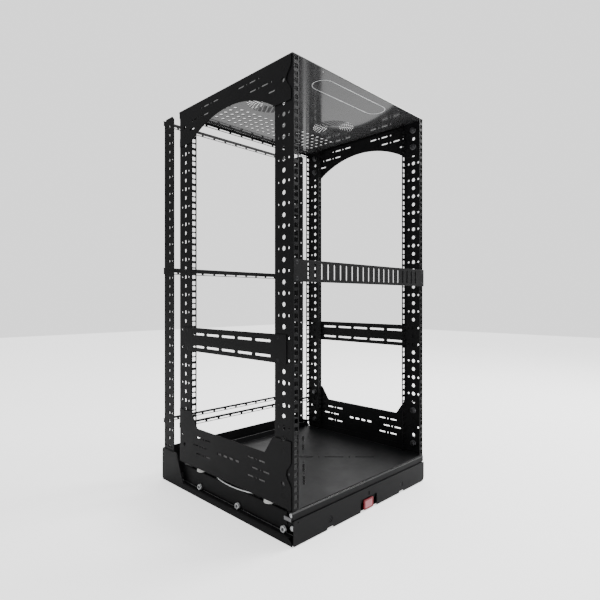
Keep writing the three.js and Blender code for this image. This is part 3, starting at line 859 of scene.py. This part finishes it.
def front_plate():
    """The carriage's front: two screw holes over notches, and the latch's bay between them."""
    low, high = inset_box("carriage_front_plate")
    screw_x, screw_z = 134 * MM, 20.5 * MM
    bay_half, bay_top, corner, nose = 30.5 * MM, 29 * MM, 3 * MM, 11 * MM
    points = [(low.x, low.z + 1.5 * MM), (low.x + 1.5 * MM, low.z)]
    points += foot_notch(-screw_x, low.z) + [(-bay_half, low.z)]
    points += arc(-bay_half + corner, bay_top - corner, corner, 180, 90, 4)
    points += arc(bay_half - corner, bay_top - corner, corner, 90, 0, 4)
    points += [(bay_half, low.z)] + foot_notch(screw_x, low.z)
    points += arc(high.x - nose, low.z + nose, nose, 270, 360, 8)
    points += arc(high.x - corner, high.z - corner, corner, 0, 90, 4)
    points += arc(low.x + corner, high.z - corner, corner, 90, 180, 4)
    holes = [circle(side * screw_x, screw_z, 6 * MM, 24) for side in (-1, 1)]
    holes += [slot(0, 37 * MM, 9 * MM, 3.6 * MM, 90), circle(low.x + 12.6 * MM, 45.5 * MM, 1.6 * MM, 10)]
    behind = low.y + SHEET + 0.1 * MM
    backing = rounded(-40 * MM, 40 * MM, 30 * MM, 46 * MM, 2 * MM)
    parts = [flat("front", low.y, points, holes), flat("front", behind, backing, (), 1.2 * MM)]
    for side in (-1, 1):
        screw = pan_screw(5.2 * MM, 1.7 * MM)
        parts.append(moved(screw, side * screw_x, behind, screw_z, (90, "X")))
    return join(parts, [0, 0, 1, 1])


def front_lip():
    """The step on top of the front plate, with a wide fold along its edge."""
    low, high = inset_box("carriage_front_lip")
    bend = 4 * MM
    face = flat("front", low.y, rounded(low.x, high.x, low.z, high.z - bend, 1 * MM))
    shelf = flat("level", high.z - SHEET, rounded(low.x, high.x, low.y + bend, high.y, 0.5 * MM))
    corner = fold("side", low.x, high.x, (low.y + bend, high.z - bend), 90, bend)
    return join([face, shelf, corner], [0, 0, 1])


def tray_half():
    """From the middle to the outer face of the tray's sides, just inside the wheels."""
    wheel_low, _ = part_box("roller_front_right")
    return wheel_low.x - 0.3 * MM


def carriage_tray():
    """A shallow pan turned upside down, with folded edges, open front corners and stub axles."""
    low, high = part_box("carriage_tray")
    half = tray_half()
    y0, y1 = low.y, high.y
    notch_x, notch_y = half - 14 * MM, FRONT + 28 * MM
    right = [(notch_x, y0 + BEND), (notch_x, notch_y), (half - BEND, notch_y), (half - BEND, y1 - BEND)]
    outline = right + [(-x, y) for x, y in reversed(right)]
    parts = [flat("level", high.z - SHEET, outline, [circle(0, MIDDLE, 10 * MM, 32)])]
    for sign in (-1, 1):
        x_low = -half if sign < 0 else half - SHEET
        parts.append(flat("side", x_low, rounded(notch_y, y1 - BEND, low.z, high.z - BEND, 1 * MM)))
        centre = (sign * (half - BEND), high.z - BEND)
        parts.append(fold("front", notch_y, y1 - BEND, centre, 90 if sign < 0 else 0))
    for y, reach, place, start in ((y0, notch_x, y0 + BEND, 90), (y1 - SHEET, half, y1 - BEND, 0)):
        parts.append(flat("front", y, rounded(-reach, reach, low.z, high.z - BEND, 1 * MM)))
        parts.append(fold("side", -reach + BEND, reach - BEND, (place, high.z - BEND), start))
    radius, length, chamfer = 3 * MM, 7.8 * MM, 0.4 * MM
    profile = [(0, 0), (radius, 0), (radius, length - 0.3 * MM), (radius - chamfer, length), (0, length)]
    axles = []
    for place in ("front", "middle", "rear"):
        wheel_low, wheel_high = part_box(f"roller_{place}_left")
        centre = (wheel_low + wheel_high) / 2
        for sign in (-1, 1):
            axles.append(moved(lathe(profile, 24), sign * half, centre.y, centre.z, (90 * sign, "Y")))
    return join(parts + axles, [0] * len(parts) + [1] * len(axles))


def roller(node):
    """A turned steel wheel with a grooved tread and a recessed face."""
    low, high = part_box(node)
    radius, wide, bore = (high.z - low.z) / 2, high.x - low.x, 3.15 * MM
    chamfer, groove, recess = 0.8 * MM, 0.5 * MM, 0.7 * MM
    profile = [(bore, 0), (radius - chamfer, 0), (radius, chamfer), (radius, wide / 2 - groove)]
    profile += [(radius - 0.6 * MM, wide / 2), (radius, wide / 2 + groove), (radius, wide - chamfer)]
    profile += [(radius - chamfer, wide), (radius - 2 * MM, wide)]
    profile += [(radius - 2.3 * MM, wide - recess), (bore, wide - recess)]
    middle = (low + high) / 2
    sign = -1 if high.x < 0 else 1
    inner = high.x if sign < 0 else low.x
    return moved(lathe(profile, 40, closed=True), inner, middle.y, middle.z, (90 * sign, "Y"))


def glide_pad(node):
    """A turned disc that steps in above its foot, with a chamfered top edge."""
    low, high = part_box(node)
    radius, tall = (high.x - low.x) / 2, high.z - low.z
    neck = radius - 0.8 * MM
    profile = [(0, 0), (radius, 0), (radius, tall * 0.45), (neck, tall * 0.6)]
    profile += [(neck, tall - 1 * MM), (neck - 1 * MM, tall), (0, tall)]
    return moved(lathe(profile, 40), (low.x + high.x) / 2, (low.y + high.y) / 2, low.z)


def lower_disc():
    """The turntable's track: a disc cut straight at its front and rear, with a ring of small holes."""
    low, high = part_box("turntable_lower_disc")
    radius = high.x
    spread = math.degrees(math.asin((high.y - MIDDLE) / radius))
    outline = arc(0, MIDDLE, radius, -spread, spread, 64)
    outline += arc(0, MIDDLE, radius, 180 - spread, 180 + spread, 64)
    holes = [circle(0, MIDDLE, 40 * MM, 64)]
    holes += [circle(x, y, 5 * MM) for x, y in circle(0, MIDDLE, 190 * MM, 12)]
    return flat("level", low.z, outline, holes, high.z - low.z, 0.6 * MM)


def ring_piece(node, inner):
    """A flat turned ring about the turning axis, with its outer edges chamfered."""
    low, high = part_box(node)
    radius, edge = high.x, 0.4 * MM
    profile = [(inner, low.z), (radius - edge, low.z), (radius, low.z + edge)]
    profile += [(radius, high.z - edge), (radius - edge, high.z), (inner, high.z)]
    return moved(lathe(profile, 96, closed=True), 0, MIDDLE, 0)


def corner_hardware():
    """The stop at the front end of a carriage side: a plated bar between two screws, on a cheek."""
    x = -tray_half()
    cheek = rounded(FRONT + 3.5 * MM, FRONT + 31 * MM, 26 * MM, 61 * MM, 2 * MM)
    bar = rounded(FRONT + 9 * MM, FRONT + 30 * MM, 43.7 * MM, 51.7 * MM, 1.2 * MM)
    parts = [flat("side", x + 2 * MM, cheek), flat("side", x - 6.6 * MM, bar, (), 8.7 * MM, 0.5 * MM)]
    backing = rounded(x - 9.4 * MM, x + 3 * MM, 46 * MM, 56 * MM, 0.6 * MM)
    parts.append(flat("front", FRONT + 2.2 * MM, backing, (), 1 * MM))
    for y, z in ((FRONT + 8.8 * MM, 57.5 * MM), (FRONT + 6.8 * MM, 32.5 * MM)):
        parts.append(moved(pan_screw(5.2 * MM, 3.2 * MM), x - 4.8 * MM, y, z, (-90, "Y")))
        parts.append(moved(stub(2.6 * MM, 7.4 * MM), x - 5 * MM, y, z, (90, "Y")))
    return join(parts, [0, 1, 0, 2, 2, 2, 2])


# ---------------------------------------------------------------- latch
def latch():
    """The red grip: a rounded frame round a paler pressing face with three ribs."""
    low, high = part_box("release_latch")
    side, end = 4.5 * MM, 3.5 * MM  # the frame's members
    lap = 0.5 * MM  # how far the face goes under them
    frame_outline = rounded(low.x, high.x, low.z, high.z, 3 * MM, 6)
    window = rounded(low.x + side, high.x - side, low.z + end, high.z - end, 2 * MM, 5)
    rim = flat("front", low.y, frame_outline, [window], high.y - low.y, 0.5 * MM)
    face_low = low.y + 0.5 * MM
    face = rounded(low.x + side - lap, high.x - side + lap, low.z + end - lap, high.z - end + lap, 2 * MM)
    parts = [rim, flat("front", face_low, face, (), 2.6 * MM)]
    for count in range(3):
        rib = slot((low.x + high.x) / 2, low.z + (8.5 + 3 * count) * MM, 20 * MM, 1.2 * MM)
        parts.append(flat("front", face_low - 0.35 * MM, rib, (), 0.8 * MM, 0.2 * MM))
    return join(parts, [0] + [1] * (len(parts) - 1))


# ---------------------------------------------------------------- studio
def make_floor():
    made = bmesh.new()
    bmesh.ops.create_grid(made, x_segments=1, y_segments=1, size=FLOOR_HALF)
    mesh = mesh_from(made)
    mesh.materials.append(floor_paint())
    floor = bpy.data.objects.new("floor", mesh)
    floor.location.z = -FLOOR_DROP
    bpy.context.scene.collection.objects.link(floor)


def make_light(name, place, target, size, power):
    data = bpy.data.lights.new(name, "AREA")
    data.shape = "RECTANGLE"
    data.size, data.size_y = size
    data.energy = power
    light = bpy.data.objects.new(name, data)
    light.location = place
    light.rotation_euler = (Vector(target) - Vector(place)).to_track_quat("-Z", "Y").to_euler()
    bpy.context.scene.collection.objects.link(light)


def sky_strength(tree):
    """The strength of the surround in each direction, as the sum of its patches."""
    where = tree.nodes.new("ShaderNodeTexCoord")
    total = None
    for direction, edges, strengths in SKY_PATCHES:
        across = tree.nodes.new("ShaderNodeVectorMath")
        across.operation = "DOT_PRODUCT"
        across.inputs[1].default_value = direction
        tree.links.new(where.outputs["Generated"], across.inputs[0])
        patch = remap(tree, across.outputs["Value"], *strengths, *edges)
        if total is None:
            total = patch
            continue
        both = tree.nodes.new("ShaderNodeMath")
        tree.links.new(total, both.inputs[0])
        tree.links.new(patch, both.inputs[1])
        total = both.outputs["Value"]
    return total


def make_world():
    """The object is lit by a soft surround, and the camera sees an even backdrop instead."""
    world = bpy.data.worlds.new("studio")
    world.use_nodes = True
    tree = world.node_tree
    background = tree.nodes["Background"]
    background.inputs["Color"].default_value = (1, 1, 1, 1)
    tree.links.new(sky_strength(tree), background.inputs["Strength"])
    path = tree.nodes.new("ShaderNodeLightPath")
    screen = tree.nodes.new("ShaderNodeBackground")
    screen.inputs["Strength"].default_value = BACKDROP
    choice = tree.nodes.new("ShaderNodeMixShader")
    tree.links.new(path.outputs["Is Camera Ray"], choice.inputs["Fac"])
    tree.links.new(background.outputs["Background"], choice.inputs[1])
    tree.links.new(screen.outputs["Background"], choice.inputs[2])
    tree.links.new(choice.outputs["Shader"], tree.nodes["World Output"].inputs["Surface"])
    bpy.context.scene.world = world


# ---------------------------------------------------------------- the object
def build():
    both_sides("front_post", lambda: rack_post("front"), POWDER, "rack", "post_front")
    both_sides("rear_post", lambda: rack_post("rear"), POWDER, "rack", "post_rear")
    both_sides("upper_plate", upper_side_plate, [POWDER, PAINTED_SHADE_COAT], "rack", "upper_side_plate")
    both_sides("lower_plate", lower_side_plate, [POWDER, PAINTED_SHADE_COAT], "rack", "lower_side_plate")
    both_sides("brace", side_brace, [POWDER, BLACK_SCREW], "rack", "side_brace")
    both_sides("rear_cable_post", cable_post, POWDER, "base", "cable_post")
    both_sides("rail", base_rail, [POWDER, DULL_ZINC], "base", "base_rail")
    piece("top_cover", top_panel(), [SATIN, ZINC, PAINTED_SHADE_COAT], "rack", ["top_panel"])
    piece("floor_plate", rack_floor(), [POWDER, PAINTED_SHADE_COAT], "rack", ["rack_floor"])
    piece("vented_panel", vent_panel(), [POWDER, BLACK_SCREW], "rack", ["vent_panel"])
    for body, kind, level, slot_tall in BARS:
        node = f"{kind}_bar_{level}"
        piece(f"lacing_{node}", lacing_bar(node, slot_tall), POWDER, body, [node])
    piece("rear_wall", base_rear_wall(), POWDER, "base", ["base_rear_wall"])
    piece("pan", base_pan(), POWDER, "base", ["base_pan"])
    piece("tray", carriage_tray(), [POWDER, NUT_STEEL], "carriage", ["carriage_tray"])
    piece("front_cover", front_plate(), [POWDER, BLACK_SCREW], "carriage", ["carriage_front_plate"])
    piece("lip", front_lip(), [POWDER, FOLD_SHEEN], "carriage", ["carriage_front_lip"])
    stop_looks = [POWDER, DULL_ZINC, ZINC]
    piece("stop_hardware_left", corner_hardware(), stop_looks, "carriage")
    piece("stop_hardware_right", mirrored(corner_hardware()), stop_looks, "carriage")
    piece("turntable_disc", lower_disc(), ZINC, "carriage", ["turntable_lower_disc"])
    ring = ring_piece("turntable_upper_ring", 90 * MM)
    piece("turntable_ring", ring, ZINC, "rack", ["turntable_upper_ring"])
    balls = ring_piece("turntable_ball_cage", 128 * MM)
    piece("ball_ring", balls, NYLON, "ball_cage", ["turntable_ball_cage"])
    for place in ("front", "middle", "rear"):
        for side in ("left", "right"):
            node = f"roller_{place}_{side}"
            piece(f"wheel_{place}_{side}", roller(node), ZINC, f"{node}_body", [node])
    for end in ("front", "rear"):
        for side in ("left", "right"):
            node = f"glide_pad_{end}_{side}"
            piece(f"glide_{end}_{side}", glide_pad(node), NYLON, "carriage", [node])
    piece("latch_grip", latch(), [RED, PALE_RED], "latch", ["release_latch"])
    make_bolts()
    # The pivot keeps its CAD shape, with a plated look
    for node in ("pivot_stud", "pivot_nut"):
        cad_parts[node].data.materials.clear()
        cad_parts[node].data.materials.append(ZINC)


make_camera()
build()
make_world()
make_floor()
for lamp in LAMPS:
    make_light(*lamp)
